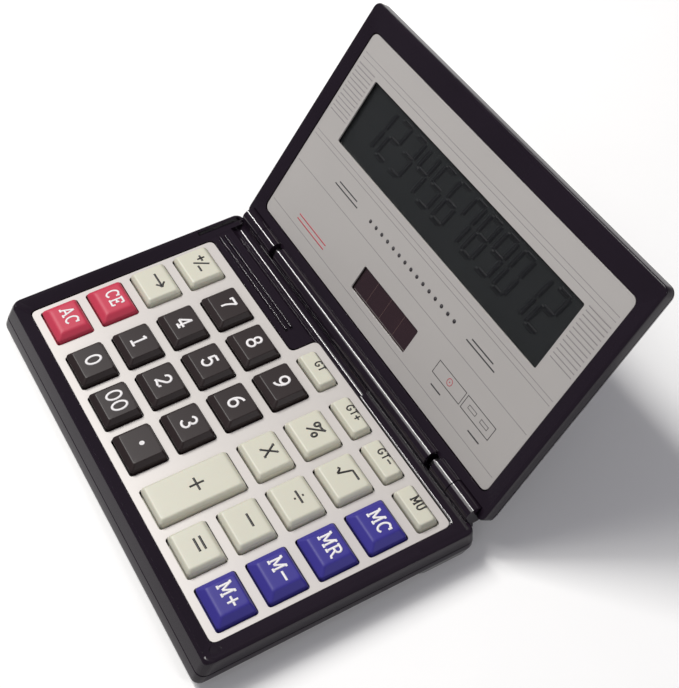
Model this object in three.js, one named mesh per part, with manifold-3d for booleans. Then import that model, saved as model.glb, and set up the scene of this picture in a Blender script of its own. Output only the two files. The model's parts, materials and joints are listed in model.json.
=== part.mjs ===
// Folding pocket calculator: a flat key case and a hinged display lid, shown with the lid open.
// Millimetres, +Z up, +X to the user's right, +Y away from the user towards the hinge.
// The case is drawn with y = 0 at the key plate's front edge and z = 0 at the plate's top face.
// The lid is drawn flat, with y measured from the hinge axis and z = 0 on that axis, then turned.
// The finished group is moved so that its origin is the middle of the face the case rests on.
import * as THREE from 'three';
import { mergeVertices } from 'three/addons/utils/BufferGeometryUtils.js';
import Module from 'manifold-3d';

const wasm = await Module();
wasm.setup();

// ---------- driving dimensions ----------
const gap = 0.3; // clearance between pieces that meet
const overcut = 1; // how far a cutting solid runs past the face it opens

// key field
const keyCutWidth = 14.3;
const firstColumnExtra = 0.65; // the clear keys' column is a little wider
const keyGapX = 2.9;
const groupGapX = 5.1; // wider space after the first and the fourth column
const keyCutDepth = 11.7;
const smallCutDepth = 6.6;
const keyGapY = 2.57;
const keyCornerRadius = 0.9;
const sideMargin = 1.75; // key plate beyond the outermost key openings
const frontMargin = 2.3;
const rearMargin = 2.3; // behind the row of small keys
const numberRearMargin = 3.0; // behind the number keys, where the plate stops short
const jogMargin = 3.2; // plate left of the first small key

// key caps
const keyTravel = 0.8;
const flangeReach = 0.7; // beyond the key's stem, all round
const flangeThickness = 0.5;
const keyStyles = {
  number: { height: 2.55, shoulder: 1.35, side: 1.3, front: 1.7, rear: 0.5 },
  clear: { height: 2.4, shoulder: 0.9, side: 1.9, front: 1.9, rear: 0.9 },
  memory: { height: 2.45, shoulder: 0.9, side: 2.1, front: 2.1, rear: 0.8 },
  operator: { height: 2.2, shoulder: 1.2, side: 0.9, front: 0.9, rear: 0.9 },
};

// layers of the key case, downwards from the plate's top face
const plateThickness = 0.5;
const webThickness = 0.6;
const domeHeight = 0.2;
const domeRadius = 2.8;
const domeSheetThickness = 0.2;
const boardThickness = 0.6;
const floorThickness = 0.9;
const bulgeDrop = 2.3; // the rear bulge's underside below the rest of the underside

// key case shell
const bezelWidth = 5.8; // from the key plate's side edge to the case's side
const frontBezel = 3.8; // from the plate's front edge to the crest of the front ridge
const rearBezel = 4.1; // from the plate's rear edge to the rear wall
const crestHeight = 1.6;
const lipHeight = 0.3; // bezel's inner edge above the plate
const deckHeight = 0.6; // flat deck behind the plate
const frontLean = 0.607; // how far the front face runs forward for each unit down
const partingDepth = 2.45; // middle of the joint line between the two shells
const wallThickness = 1.9;
const caseCornerRadius = 2.6;
const troughRadius = 2.4;
const troughRearInset = 3.2; // trough's axis in front of the rear wall
const troughRise = 1.6; // trough's axis above the plate
const troughRight = 14.5; // trough's right end
const troughLeft = 4.3; // trough's left end in from the case's side
const ribRadius = 0.42;
const ribLength = 44.5;
const ribLeft = 0.5; // ribs' left end in from the key plate's side
const ribSetbacks = [2.6, 4.3]; // ribs behind the plate
const dishMargin = 1.7; // flat crest of the side and rear bezels
const frontDishMargin = 0.5;
const rearDishMargin = 1.4;
const dimpleRadius = 1.5; // round dimple in the front right corner of the bezel
const dimpleDepth = 0.3;
const plateCornerRadius = 2;
// rounded edges, as pairs of height and inset, measured from the edge's flat face
const crestEdge = [[-0.9, 0.1], [-0.3, 0.3], [0, 0.8]];
const undersideEdge = [[0, 1.2], [0.4, 0.45], [1.2, 0.1]];
const bulgeSideInset = 2.2;
const bulgeSlope = 3.0; // how far the bulge's front face leans back
const bulgeRearInset = 2.6;

// hinge
const barrelRadius = 2.9;
const hingeRise = 2.1; // axis above the plate
const hingeSetback = 1.9; // axis behind the case's rear wall
const cradleSetback = 1.3; // cradle's lip behind the rear wall, under the barrel
const outerKnuckleEnd = 64.8; // distances from the middle, along the axis
const knuckleSplit = 54.8;
const innerKnuckleEnd = 46.8;
const middleBarrelEnd = 44.0;
const barrelBore = 1.9; // radius of the cable channel
const pinRadius = 0.8;
const pinHeadRadius = 1.5;
const pinHeadLength = 1.4;
const pinPressGap = 0.2; // round the pin in the case's knuckle
const pinBlindEnd = 1.6; // solid end of the outer knuckle
const openAngle = 128.5; // degrees between closed and fully open

// lid
const lidSideInset = 1.1; // lid's side inside the case's side
const lidFrontInset = 0.5; // lid's front edge behind the case's front crest, when closed
const lidEarEdge = 0; // the side walls reach down past the outer knuckles
const lidCornerRadius = 2.2;
const lidPlateDrop = 0.8; // display plate's face below the axis, when closed
const lidThickness = 6.1;
const lidRimRise = 1.0; // rim above the display plate's face
const lidSideBezel = 5.4;
const lidTopBezel = 7.4;
const lidBottomBezel = 3.7;
const lidBackRound = 5.0; // how far the back's edge is rounded in
const lidShell = 0.8;
const lidWallThickness = 1.6;
const lidPlateRadius = 2.0;
const windowWidth = 102.4;
const windowLength = 21.2;
const windowTop = 10.3; // from the display plate's top edge
const solarWidth = 29.2;
const solarLength = 7.9;
const solarBottom = 6.2; // from the display plate's bottom edge
const paneReach = 1.4; // pane beyond its window, all round
const paneThickness = 0.5;
const lcdReach = 2.8; // display glass beyond its window
const lcdThickness = 1.0;
const connectorWidth = 1.6;
const lidBoardThickness = 0.5;
const layerGap = 0.2; // between the stacked flat layers

// battery bay
const cellRadius = 5.8;
const cellHeight = 3.1;
const cellX = -38;
const cellClearance = 0.3;
const coverThickness = 0.85;
const coverRecess = 0.25;
const coverReach = 1.0; // cover beyond the cell, to each side
const coverRim = 0.6; // underside left standing behind the cover
const tongueReach = 1.0;
const tongueThickness = 0.35;
const bayWall = 1.3;
const contactThickness = 0.3;

// screws and feet
const screwRadius = 0.7;
const screwHeadRadius = 1.45;
const screwHeadHeight = 0.7;
const bossRadius = 2.3;
const postRadius = 1.9;
const screwInset = 3.6; // case screws in from the case's side
const screwFrontY = -1.6;
const screwRearInset = 3.9; // in from the rear wall
const lidScrewX = 58;
const lidScrewY = 8.4;
const footRadius = 3.5;
const footX = 52;
const footY = 4.2;

// ---------- positions worked out from them ----------
const columnWidths = [keyCutWidth + firstColumnExtra, ...Array(6).fill(keyCutWidth)];
const columnGaps = [groupGapX, keyGapX, keyGapX, groupGapX, keyGapX, keyGapX];
const fieldWidth = [...columnWidths, ...columnGaps].reduce((sum, size) => sum + size, 0);
const columnLeft = columnWidths.map((_, column) => -fieldWidth / 2
  + columnWidths.slice(0, column).reduce((sum, size) => sum + size, 0)
  + columnGaps.slice(0, column).reduce((sum, size) => sum + size, 0));
const keyPitchY = keyCutDepth + keyGapY;
const rowFront = row => frontMargin + row * keyPitchY;
const numberRowsRear = rowFront(3) + keyCutDepth;

const plateHalf = fieldWidth / 2 + sideMargin;
const plateRear = rowFront(4) + smallCutDepth + rearMargin;
const plateRearLeft = numberRowsRear + numberRearMargin;
const jogX = columnLeft[3] - jogMargin;

const webTop = -plateThickness - gap;
const webBottom = webTop - webThickness;
const flangeTop = webBottom - gap;
const flangeBottom = flangeTop - flangeThickness;
const domeTop = flangeBottom - keyTravel - layerGap;
const domeSheetTop = domeTop - domeHeight;
const boardTop = domeSheetTop - domeSheetThickness - gap;
const floorTop = boardTop - boardThickness - gap;
const underside = floorTop - floorThickness;
const bulgeBottom = underside - bulgeDrop;
const upperEdge = -partingDepth + gap / 2;
const lowerEdge = -partingDepth - gap / 2;

const caseHalf = plateHalf + bezelWidth;
const caseRear = plateRear + rearBezel;
const frontAt = z => -frontBezel - (crestHeight - z) * frontLean;
const hingeY = caseRear + hingeSetback;
const cellY = caseRear - bulgeRearInset - coverRim - coverReach - cellRadius;
const bulgeFront = Math.min(numberRowsRear - 3.7, cellY - cellRadius - 0.4 - bulgeSlope);
const restSpan = [bulgeFront + bulgeSlope, caseRear - bulgeRearInset];

const lidHalf = caseHalf - lidSideInset;
const lidLowerEdge = barrelRadius - 0.8; // from the hinge axis
const lidLength = hingeY + frontBezel - lidFrontInset;
const lidFace = -lidPlateDrop;
const lidRim = lidFace + lidRimRise;
const lidBack = lidRim - lidThickness;
const lidPlateHalf = lidHalf - lidSideBezel;
const lidPlateBottom = lidLowerEdge + lidBottomBezel;
const lidPlateTop = lidLength - lidTopBezel;
const lidWebTop = lidFace - plateThickness - gap;
const lidWebBottom = lidWebTop - webThickness;
const lidUpperEdge = lidWebBottom - 0.6;
const lidLowerShellEdge = lidUpperEdge - gap;
const lidFloor = lidBack + lidShell;
const windowY = [lidPlateTop - windowTop - windowLength, lidPlateTop - windowTop];
const solarY = [lidPlateBottom + solarBottom, lidPlateBottom + solarBottom + solarLength];
const lcdTop = lidWebTop - paneThickness - layerGap;
const lcdBottom = lcdTop - lcdThickness;
const connectorTop = lcdBottom - layerGap;
const lidBoardTop = lidFloor + layerGap + lidBoardThickness; // the board lies on the back shell
const connectorHeight = connectorTop - layerGap - lidBoardTop;

const coverBottom = bulgeBottom + coverRecess;
const coverTop = coverBottom + coverThickness;
const cellBottom = coverTop + cellClearance;
const cellTop = cellBottom + cellHeight;
const boardRearLeft = Math.min(numberRowsRear + 0.4, cellY - cellRadius - gap);
const bayTop = boardTop - boardThickness - 0.7;
const screwX = caseHalf - screwInset;
const screwRearY = caseRear - screwRearInset;

// ---------- materials ----------
const finish = (color, roughness, metalness = 0) =>
  new THREE.MeshStandardMaterial({ color: new THREE.Color(...color), roughness, metalness });
const glossBlack = finish([0.02, 0.014, 0.024], 0.18);
const silverPlate = finish([0.62, 0.6, 0.59], 0.42, 0.6);
const lidPlate = finish([0.45, 0.44, 0.42], 0.5, 0.3);
const keyFinishes = {
  number: finish([0.045, 0.03, 0.03], 0.5),
  clear: finish([0.63, 0.08, 0.14], 0.45),
  memory: finish([0.07, 0.055, 0.35], 0.45),
  operator: finish([0.71, 0.7, 0.55], 0.5),
};
const domeFilm = finish([0.75, 0.75, 0.72], 0.5);
const boardGreen = finish([0.03, 0.18, 0.07], 0.5);
const steel = finish([0.6, 0.6, 0.62], 0.3, 1);
const rubber = finish([0.02, 0.02, 0.02], 0.9);
const glass = finish([0.25, 0.26, 0.26], 0.1);
const lcdGlass = finish([0.035, 0.038, 0.038], 0.25);
const solarGlass = finish([0.02, 0.008, 0.01], 0.2);
const flexFilm = finish([0.45, 0.2, 0.05], 0.5);

// ---------- solids ----------
function solid(geometry) {
  const bare = geometry.clone();
  for (const name of ['normal', 'uv']) bare.deleteAttribute(name);
  const merged = mergeVertices(bare, 1e-5);
  return new wasm.Manifold(new wasm.Mesh({
    numProp: 3,
    vertProperties: new Float32Array(merged.attributes.position.array),
    triVerts: new Uint32Array(merged.index.array),
  }));
}

function geometryOf(body) {
  const { vertProperties, triVerts } = body.getMesh();
  const geometry = new THREE.BufferGeometry();
  geometry.setAttribute('position', new THREE.BufferAttribute(vertProperties, 3));
  geometry.setIndex(new THREE.BufferAttribute(triVerts, 1));
  geometry.computeVertexNormals();
  return geometry;
}

// Rounded rectangle, anticlockwise, always 4 * (steps + 1) points.
function outline(x0, x1, y0, y1, radius, steps) {
  const corners = [[x1, y0, -90], [x1, y1, 0], [x0, y1, 90], [x0, y0, 180]];
  return corners.flatMap(([x, y, start]) => {
    const cx = x - Math.sign(x - (x0 + x1) / 2) * radius;
    const cy = y - Math.sign(y - (y0 + y1) / 2) * radius;
    return Array.from({ length: steps + 1 }, (_, step) => {
      const angle = THREE.MathUtils.degToRad(start + (90 * step) / steps);
      return new THREE.Vector2(cx + radius * Math.cos(angle), cy + radius * Math.sin(angle));
    });
  });
}

// Closed solid through rounded rectangles, given from the lowest level to the highest.
function loft(levels, steps = 3) {
  const rings = levels.map(({ x, y, r }) => outline(x[0], x[1], y[0], y[1], r, steps));
  const size = rings[0].length;
  const positions = rings.flatMap((ring, level) =>
    ring.flatMap(point => [point.x, point.y, levels[level].z]));
  const faces = [];
  for (let level = 0; level < rings.length - 1; level += 1) {
    for (let i = 0; i < size; i += 1) {
      const next = (i + 1) % size;
      const [a, b] = [level * size + i, level * size + next];
      faces.push(a, b, b + size, a, b + size, a + size);
    }
  }
  const top = (rings.length - 1) * size;
  for (const [i, j, k] of THREE.ShapeUtils.triangulateShape(rings[0], [])) faces.push(i, k, j);
  for (const [i, j, k] of THREE.ShapeUtils.triangulateShape(rings.at(-1), [])) {
    faces.push(top + i, top + j, top + k);
  }
  const geometry = new THREE.BufferGeometry();
  geometry.setAttribute('position', new THREE.Float32BufferAttribute(positions, 3));
  geometry.setIndex(faces);
  geometry.computeVertexNormals();
  return geometry;
}

const slab = (x, y, z, r = 0.4, steps = 2) =>
  loft([{ z: z[0], x, y, r }, { z: z[1], x, y, r }], steps);

const box = (x, y, z) => new THREE.BoxGeometry(x[1] - x[0], y[1] - y[0], z[1] - z[0])
  .translate((x[0] + x[1]) / 2, (y[0] + y[1]) / 2, (z[0] + z[1]) / 2);

const post = (radius, x, y, z, sides = 16) =>
  new THREE.CylinderGeometry(radius, radius, z[1] - z[0], sides)
    .rotateX(Math.PI / 2).translate(x, y, (z[0] + z[1]) / 2);

// Round bar along X about the line (y, z).
const bar = (radius, x, y, z, sides = 28) =>
  new THREE.CylinderGeometry(radius, radius, x[1] - x[0], sides)
    .rotateZ(Math.PI / 2).translate((x[0] + x[1]) / 2, y, z);

const join = bodies => bodies.reduce((whole, body) => whole.add(body));
const sides = [['left', -1], ['right', 1]];
const mirrorSpan = (side, near, far) => (side > 0 ? [near, far] : [-far, -near]);

// ---------- keys ----------
const keyRows = [
  [0, 0, 'all_clear', 'clear'], [0, 1, 'clear_entry', 'clear'],
  [0, 2, 'backspace', 'operator'], [0, 3, 'sign', 'operator'],
  [1, 0, '0', 'number'], [1, 1, '1', 'number'], [1, 2, '4', 'number'], [1, 3, '7', 'number'],
  [2, 0, '00', 'number'], [2, 1, '2', 'number'], [2, 2, '5', 'number'], [2, 3, '8', 'number'],
  [3, 0, 'point', 'number'], [3, 1, '3', 'number'], [3, 2, '6', 'number'], [3, 3, '9', 'number'],
  [4, 0, 'plus', 'operator'], [4, 2, 'multiply', 'operator'], [4, 3, 'percent', 'operator'],
  [5, 0, 'equals', 'operator'], [5, 1, 'minus', 'operator'],
  [5, 2, 'divide', 'operator'], [5, 3, 'root', 'operator'],
  [6, 0, 'memory_plus', 'memory'], [6, 1, 'memory_minus', 'memory'],
  [6, 2, 'memory_recall', 'memory'], [6, 3, 'memory_clear', 'memory'],
  [3, 4, 'grand_total', 'operator'], [4, 4, 'grand_total_plus', 'operator'],
  [5, 4, 'grand_total_minus', 'operator'], [6, 4, 'markup', 'operator'],
];
const keys = keyRows.map(([column, row, name, style]) => {
  const x = [columnLeft[column], columnLeft[column] + columnWidths[column]];
  const rows = name === 'plus' ? 2 : 1; // the plus key stands across two rows
  const depth = row === 4 ? smallCutDepth : keyCutDepth * rows + keyGapY * (rows - 1);
  return { name, style, x, y: [rowFront(row), rowFront(row) + depth], small: row === 4 };
});
const grow = ([low, high], by) => [low - by, high + by];

function keyCap({ x, y, style, small }) {
  const { height, shoulder, side, front, rear } = keyStyles[style];
  const scale = small ? 0.75 : 1;
  const stemX = grow(x, -gap);
  const stemY = grow(y, -gap);
  const flange = { x: grow(stemX, flangeReach), y: grow(stemY, flangeReach), r: keyCornerRadius };
  const stem = { x: stemX, y: stemY, r: keyCornerRadius };
  const top = {
    x: grow(stemX, -side * scale),
    y: [stemY[0] + front * scale, stemY[1] - rear * scale],
    r: keyCornerRadius * 0.8,
  };
  return loft([
    { z: flangeBottom, ...flange }, { z: flangeTop, ...flange },
    { z: flangeTop + 0.02, ...stem }, { z: shoulder * scale, ...stem },
    { z: height * (small ? 0.9 : 1), ...top },
  ], 2);
}

// Openings for every key, as cutting solids between two heights.
const keyOpenings = (z, steps) => join(keys.map(({ x, y }) =>
  solid(slab(x, y, z, keyCornerRadius, steps))));

// L-shaped outline of the plate and of what lies under it.
function fieldShape(edge, rearLeft) {
  const shape = new THREE.Shape();
  const [half, front, rear, jog] = [plateHalf + edge, -edge, plateRear + edge, jogX - edge];
  const corners = [
    [-half, front], [half, front], [half, rear], [jog, rear], [jog, rearLeft], [-half, rearLeft],
  ];
  const radius = plateCornerRadius;
  corners.forEach((corner, i) => {
    const here = new THREE.Vector2(...corner);
    const back = new THREE.Vector2(...corners[(i + 5) % 6]).sub(here).setLength(radius);
    const on = new THREE.Vector2(...corners[(i + 1) % 6]).sub(here).setLength(radius);
    const start = here.clone().add(back);
    const end = here.clone().add(on);
    if (i === 0) shape.moveTo(start.x, start.y);
    else shape.lineTo(start.x, start.y);
    shape.quadraticCurveTo(here.x, here.y, end.x, end.y);
  });
  shape.closePath();
  return shape;
}
const sheet = (edge, rearLeft, z) => new THREE.ExtrudeGeometry(fieldShape(edge, rearLeft), {
  depth: z[1] - z[0], bevelEnabled: false, curveSegments: 4,
}).translate(0, 0, z[0]);

// ---------- key case ----------
const screwSpots = sides.flatMap(([name, side]) => [
  [`case_screw_front_${name}`, side * screwX, screwFrontY],
  [`case_screw_rear_${name}`, side * screwX, screwRearY],
]);
const inset = (z, by) => ({
  z, x: [-caseHalf + by, caseHalf - by], y: [frontAt(z) + by, caseRear - by],
  r: caseCornerRadius - by / 2,
});
const caseSpan = by => grow([-caseHalf, caseHalf], -by);

// The lid's barrel turns in a round cradle along the case's rear wall.
const barrelRoom = () => solid(bar(
  barrelRadius + gap, grow([-outerKnuckleEnd, outerKnuckleEnd], gap), hingeY, hingeRise, 40));

function upperCase() {
  const outer = solid(loft([
    inset(upperEdge, 0), ...crestEdge.map(([rise, by]) => inset(crestHeight + rise, by)),
  ], 5));
  const dish = solid(loft([
    {
      z: lipHeight, x: grow([-plateHalf, plateHalf], gap), y: [-gap, plateRear + gap],
      r: plateCornerRadius,
    },
    {
      z: crestHeight + 0.01, x: caseSpan(dishMargin),
      y: [-frontBezel + frontDishMargin, caseRear - rearDishMargin], r: plateCornerRadius,
    },
  ], 5));
  const deckDrop = solid(box(
    caseSpan(dishMargin), [numberRowsRear, caseRear - rearDishMargin],
    [deckHeight, crestHeight + overcut]));
  const dimple = solid(post(
    dimpleRadius, caseHalf - bezelWidth / 1.6, 0,
    [lipHeight + dimpleDepth, crestHeight + overcut], 20));
  const plateSeat = solid(sheet(gap, plateRearLeft + gap, [webTop, crestHeight + overcut]));
  const pocket = solid(slab(
    caseSpan(wallThickness), [frontAt(webBottom) + wallThickness, caseRear - wallThickness],
    [upperEdge - overcut, webBottom], caseCornerRadius / 2, 4));
  const trough = solid(bar(
    troughRadius, [-caseHalf + troughLeft, troughRight],
    caseRear - troughRearInset, troughRise, 32));
  const ribStart = -plateHalf + ribLeft;
  const ribs = ribSetbacks.map(behind => solid(bar(
    ribRadius, [ribStart, ribStart + ribLength], plateRearLeft + behind, deckHeight + 0.1, 12)));
  const posts = screwSpots.map(([, x, y]) => solid(post(
    postRadius, x, y, [upperEdge, webBottom + 0.2])));
  const bores = screwSpots.map(([, x, y]) => solid(post(
    screwRadius + gap, x, y, [lowerEdge - overcut, webBottom])));
  const knuckles = sides.flatMap(([, side]) => {
    const x = mirrorSpan(side, knuckleSplit + gap / 2, outerKnuckleEnd);
    return [
      solid(bar(barrelRadius, x, hingeY, hingeRise)),
      solid(box(x, [caseRear - 1, hingeY], [hingeRise - barrelRadius + 0.05, hingeRise - 1.1])),
    ];
  });
  const cradleLip = solid(box(
    [-outerKnuckleEnd, outerKnuckleEnd], [caseRear - 1, caseRear + cradleSetback],
    [upperEdge, hingeRise - barrelRadius]));
  const pinBores = sides.map(([, side]) => solid(bar(
    pinRadius + pinPressGap, mirrorSpan(side, knuckleSplit - 1, outerKnuckleEnd - pinBlindEnd),
    hingeY, hingeRise, 16)));
  return join([outer.subtract(join([dish, deckDrop, dimple])), ...ribs])
    .subtract(plateSeat).subtract(pocket).subtract(trough)
    .subtract(keyOpenings([webBottom - overcut, webTop + overcut], 1))
    .add(join(posts)).subtract(join(bores)).add(cradleLip).subtract(barrelRoom())
    .add(join(knuckles)).subtract(join(pinBores));
}

function lowerCase() {
  const main = solid(loft([
    ...undersideEdge.map(([rise, by]) => inset(underside + rise, by)), inset(lowerEdge, 0),
  ], 5));
  const bulge = solid(loft([
    { z: bulgeBottom, x: caseSpan(bulgeSideInset), y: restSpan, r: caseCornerRadius * 0.8 },
    {
      z: bulgeBottom + 0.5, x: caseSpan(bulgeSideInset / 2),
      y: [restSpan[0] - 0.8, restSpan[1] + bulgeRearInset / 2], r: caseCornerRadius * 0.9,
    },
    {
      z: underside + 1.2, x: caseSpan(0.15), y: [bulgeFront - 0.6, caseRear - 0.05],
      r: caseCornerRadius,
    },
  ], 5));
  const pocket = solid(slab(
    caseSpan(wallThickness), [frontAt(lowerEdge) + wallThickness, caseRear - wallThickness],
    [floorTop, lowerEdge + overcut], caseCornerRadius / 2, 4));
  const bulgePocket = solid(slab(
    caseSpan(bulgeSideInset + wallThickness),
    [restSpan[0] + floorThickness, restSpan[1]],
    [bulgeBottom + floorThickness, floorTop + overcut], 1.2, 3));
  const bossSpots = screwSpots.map(([, x, y]) => solid(post(
    bossRadius, x, y, [floorTop - 0.4, lowerEdge])));
  const bay = solid(box(
    grow([cellX, cellX], cellRadius + coverReach + tongueReach + bayWall),
    [bulgeFront - 1, caseRear], [bulgeBottom - overcut, bayTop]));
  const hollow = join([pocket, bulgePocket]).subtract(bay);
  const coverHalf = cellRadius + coverReach + gap;
  const slot = solid(box(
    grow([cellX, cellX], coverHalf), [bulgeFront - 4, cellY + coverHalf],
    [bulgeBottom - overcut, coverTop + gap]));
  const grooves = solid(box(
    grow([cellX, cellX], coverHalf + tongueReach), [bulgeFront - 4, cellY + coverHalf],
    [coverTop - tongueThickness - gap, coverTop + gap]));
  const cellHole = solid(post(
    cellRadius + cellClearance, cellX, cellY, [coverBottom, bayTop + overcut], 32));
  const screwHoles = screwSpots.flatMap(([, x, y]) => [
    solid(post(screwRadius + gap, x, y, [bulgeBottom - overcut, lowerEdge + overcut])),
    solid(post(
      screwHeadRadius + gap, x, y, [bulgeBottom - overcut, underside + 0.3 + screwHeadHeight + gap])),
  ]);
  const footSeats = sides.map(([, side]) => solid(post(
    footRadius + gap, side * footX, footY, [underside - overcut, underside + 0.4], 24)));
  return main.add(bulge).subtract(hollow).add(join(bossSpots))
    .subtract(join([slot, grooves, cellHole]))
    .subtract(join(screwHoles)).subtract(join(footSeats));
}

function keyPlate() {
  return solid(sheet(0, plateRearLeft, [-plateThickness, 0]))
    .subtract(keyOpenings([-plateThickness - overcut, overcut], 3));
}

function domeSheet() {
  const film = solid(sheet(-0.8, boardRearLeft, [domeSheetTop - domeSheetThickness, domeSheetTop]));
  const domes = keys.map(({ x, y }) => {
    const radius = Math.min(domeRadius, (y[1] - y[0]) / 2 - 0.4);
    return solid(new THREE.CylinderGeometry(radius * 0.6, radius, domeHeight + 0.1, 8)
      .rotateX(Math.PI / 2)
      .translate((x[0] + x[1]) / 2, (y[0] + y[1]) / 2, domeTop - (domeHeight + 0.1) / 2));
  });
  return film.add(join(domes));
}

function batteryCover() {
  const half = cellRadius + coverReach;
  const y = [restSpan[0] - 0.4, cellY + half];
  const tongues = slab(
    grow([cellX, cellX], half + tongueReach), y, [coverTop - tongueThickness, coverTop], 0.5);
  return solid(slab(grow([cellX, cellX], half), y, [coverBottom, coverTop], 0.5)).add(solid(tongues));
}

// Flat strip bent once into an L, given by its foot and its upright leg.
const bentStrip = (foot, leg) => solid(box(...foot)).add(solid(box(...leg)));

function batteryContact(side) {
  const y = grow([cellY, cellY], 2.2);
  if (side > 0) { // blade against the cell's rim
    const x = cellX + cellRadius + cellClearance;
    return bentStrip(
      [[x, x + 3.2], y, [bayTop + gap, bayTop + gap + contactThickness]],
      [[x, x + contactThickness], y, [bayTop + gap, cellTop - 0.2]]);
  }
  const x = cellX - cellRadius - 1.6; // leaf over the cell's flat end
  return bentStrip(
    [[x, cellX + 2], y, [cellTop + gap, cellTop + gap + contactThickness]],
    [[x, x + contactThickness], y, [bayTop + gap, cellTop + gap + contactThickness]]);
}

function screw(x, y, headBottom, tip) {
  const head = solid(post(screwHeadRadius, x, y, [headBottom, headBottom + screwHeadHeight]));
  const shank = solid(post(screwRadius, x, y, [headBottom + 0.3, tip], 12));
  const cross = [[1.0, 0.22], [0.22, 1.0]].map(([dx, dy]) => solid(box(
    [x - dx, x + dx], [y - dy, y + dy], [headBottom - overcut, headBottom + 0.35])));
  return head.add(shank).subtract(join(cross));
}

function hingePin(side) {
  const headEnd = innerKnuckleEnd - gap;
  const shank = mirrorSpan(side, headEnd - 0.4, outerKnuckleEnd - pinBlindEnd - gap);
  const head = mirrorSpan(side, headEnd - pinHeadLength, headEnd);
  return solid(bar(pinRadius, shank, hingeY, hingeRise, 16))
    .add(solid(bar(pinHeadRadius, head, hingeY, hingeRise, 20)));
}

// Flat cable rolled about the hinge axis inside the middle barrel.
function flexCable() {
  const [inner, outer, turn] = [1.0, 1.25, 1.7 * Math.PI];
  const roll = new THREE.Shape();
  roll.absarc(0, 0, outer, 0, turn, false);
  roll.absarc(0, 0, inner, turn, 0, true);
  roll.closePath();
  const width = 34;
  return new THREE.ExtrudeGeometry(roll, { depth: width, bevelEnabled: false, curveSegments: 18 })
    .rotateY(Math.PI / 2).translate(-width / 2, hingeY, hingeRise);
}

// ---------- lid, drawn flat with its face up ----------
const lidLevel = (z, by, r) => ({
  z, x: [-lidHalf + by, lidHalf - by], y: [lidEarEdge + Math.min(by, 1.5), lidLength - by], r,
});
const lidOpening = (width, y, reach, z) =>
  solid(slab([-width / 2 - reach, width / 2 + reach], grow(y, reach), z, 0.5));
// Room between the side walls' ears for the hinge, and round the case's outer knuckles.
const hingeRoom = () => join([
  solid(box(
    grow([-outerKnuckleEnd, outerKnuckleEnd], gap), [-lidThickness, lidLowerEdge],
    [-lidThickness - 1, lidThickness])),
  ...sides.map(([, side]) => solid(bar(
    barrelRadius + gap, mirrorSpan(side, knuckleSplit - gap / 2, outerKnuckleEnd + gap), 0, 0, 32))),
]);

function lidFrame() {
  const outer = solid(loft([
    lidLevel(lidUpperEdge, 0, lidCornerRadius), lidLevel(lidRim - 0.5, 0, lidCornerRadius),
    lidLevel(lidRim - 0.15, 0.2, lidCornerRadius - 0.2), lidLevel(lidRim, 0.6, lidCornerRadius - 0.5),
  ], 5));
  const dish = solid(loft([
    {
      z: lidFace + lipHeight, x: grow([-lidPlateHalf, lidPlateHalf], gap),
      y: [lidPlateBottom - gap, lidPlateTop + gap], r: lidPlateRadius,
    },
    {
      z: lidRim + 0.01, x: grow([-lidHalf, lidHalf], -1.3),
      y: [lidLowerEdge + 1.2, lidLength - 1.3], r: lidPlateRadius + 0.4,
    },
  ], 5));
  const seat = solid(slab(
    grow([-lidPlateHalf, lidPlateHalf], gap), [lidPlateBottom - gap, lidPlateTop + gap],
    [lidWebTop, lidRim + overcut], lidPlateRadius, 4));
  const pocket = solid(slab(
    grow([-lidHalf, lidHalf], -lidWallThickness),
    [lidLowerEdge + lidWallThickness, lidLength - lidWallThickness],
    [lidUpperEdge - overcut, lidWebBottom], 1.6, 4));
  const spans = [[-middleBarrelEnd, middleBarrelEnd],
    ...sides.map(([, side]) => mirrorSpan(side, innerKnuckleEnd, knuckleSplit - gap / 2))];
  const barrels = spans.flatMap(x => [
    solid(bar(barrelRadius, x, 0, 0)),
    solid(box(x, [0, lidLowerEdge + 1], [lidUpperEdge + 0.05, lidFace + lipHeight])),
  ]);
  const channel = solid(bar(barrelBore, grow([-middleBarrelEnd, middleBarrelEnd], overcut), 0, 0, 24));
  const pinBores = sides.map(([, side]) => solid(bar(
    pinRadius + gap, mirrorSpan(side, innerKnuckleEnd - overcut, knuckleSplit + overcut), 0, 0, 16)));
  const posts = sides.map(([, side]) => solid(post(
    postRadius, side * lidScrewX, lidScrewY, [lidFloor + 0.8, lidWebBottom + 0.2])));
  const bores = sides.map(([, side]) => solid(post(
    screwRadius + gap, side * lidScrewX, lidScrewY, [lidFloor, lidWebBottom])));
  return outer.subtract(hingeRoom()).subtract(dish).subtract(seat).subtract(pocket)
    .subtract(lidOpening(windowWidth, windowY, paneReach + gap, [lidUpperEdge, lidWebTop + overcut]))
    .subtract(lidOpening(solarWidth, solarY, 1 + gap, [lidUpperEdge, lidWebTop + overcut]))
    .add(join(barrels)).subtract(channel).subtract(join(pinBores))
    .add(join(posts)).subtract(join(bores));
}

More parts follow.
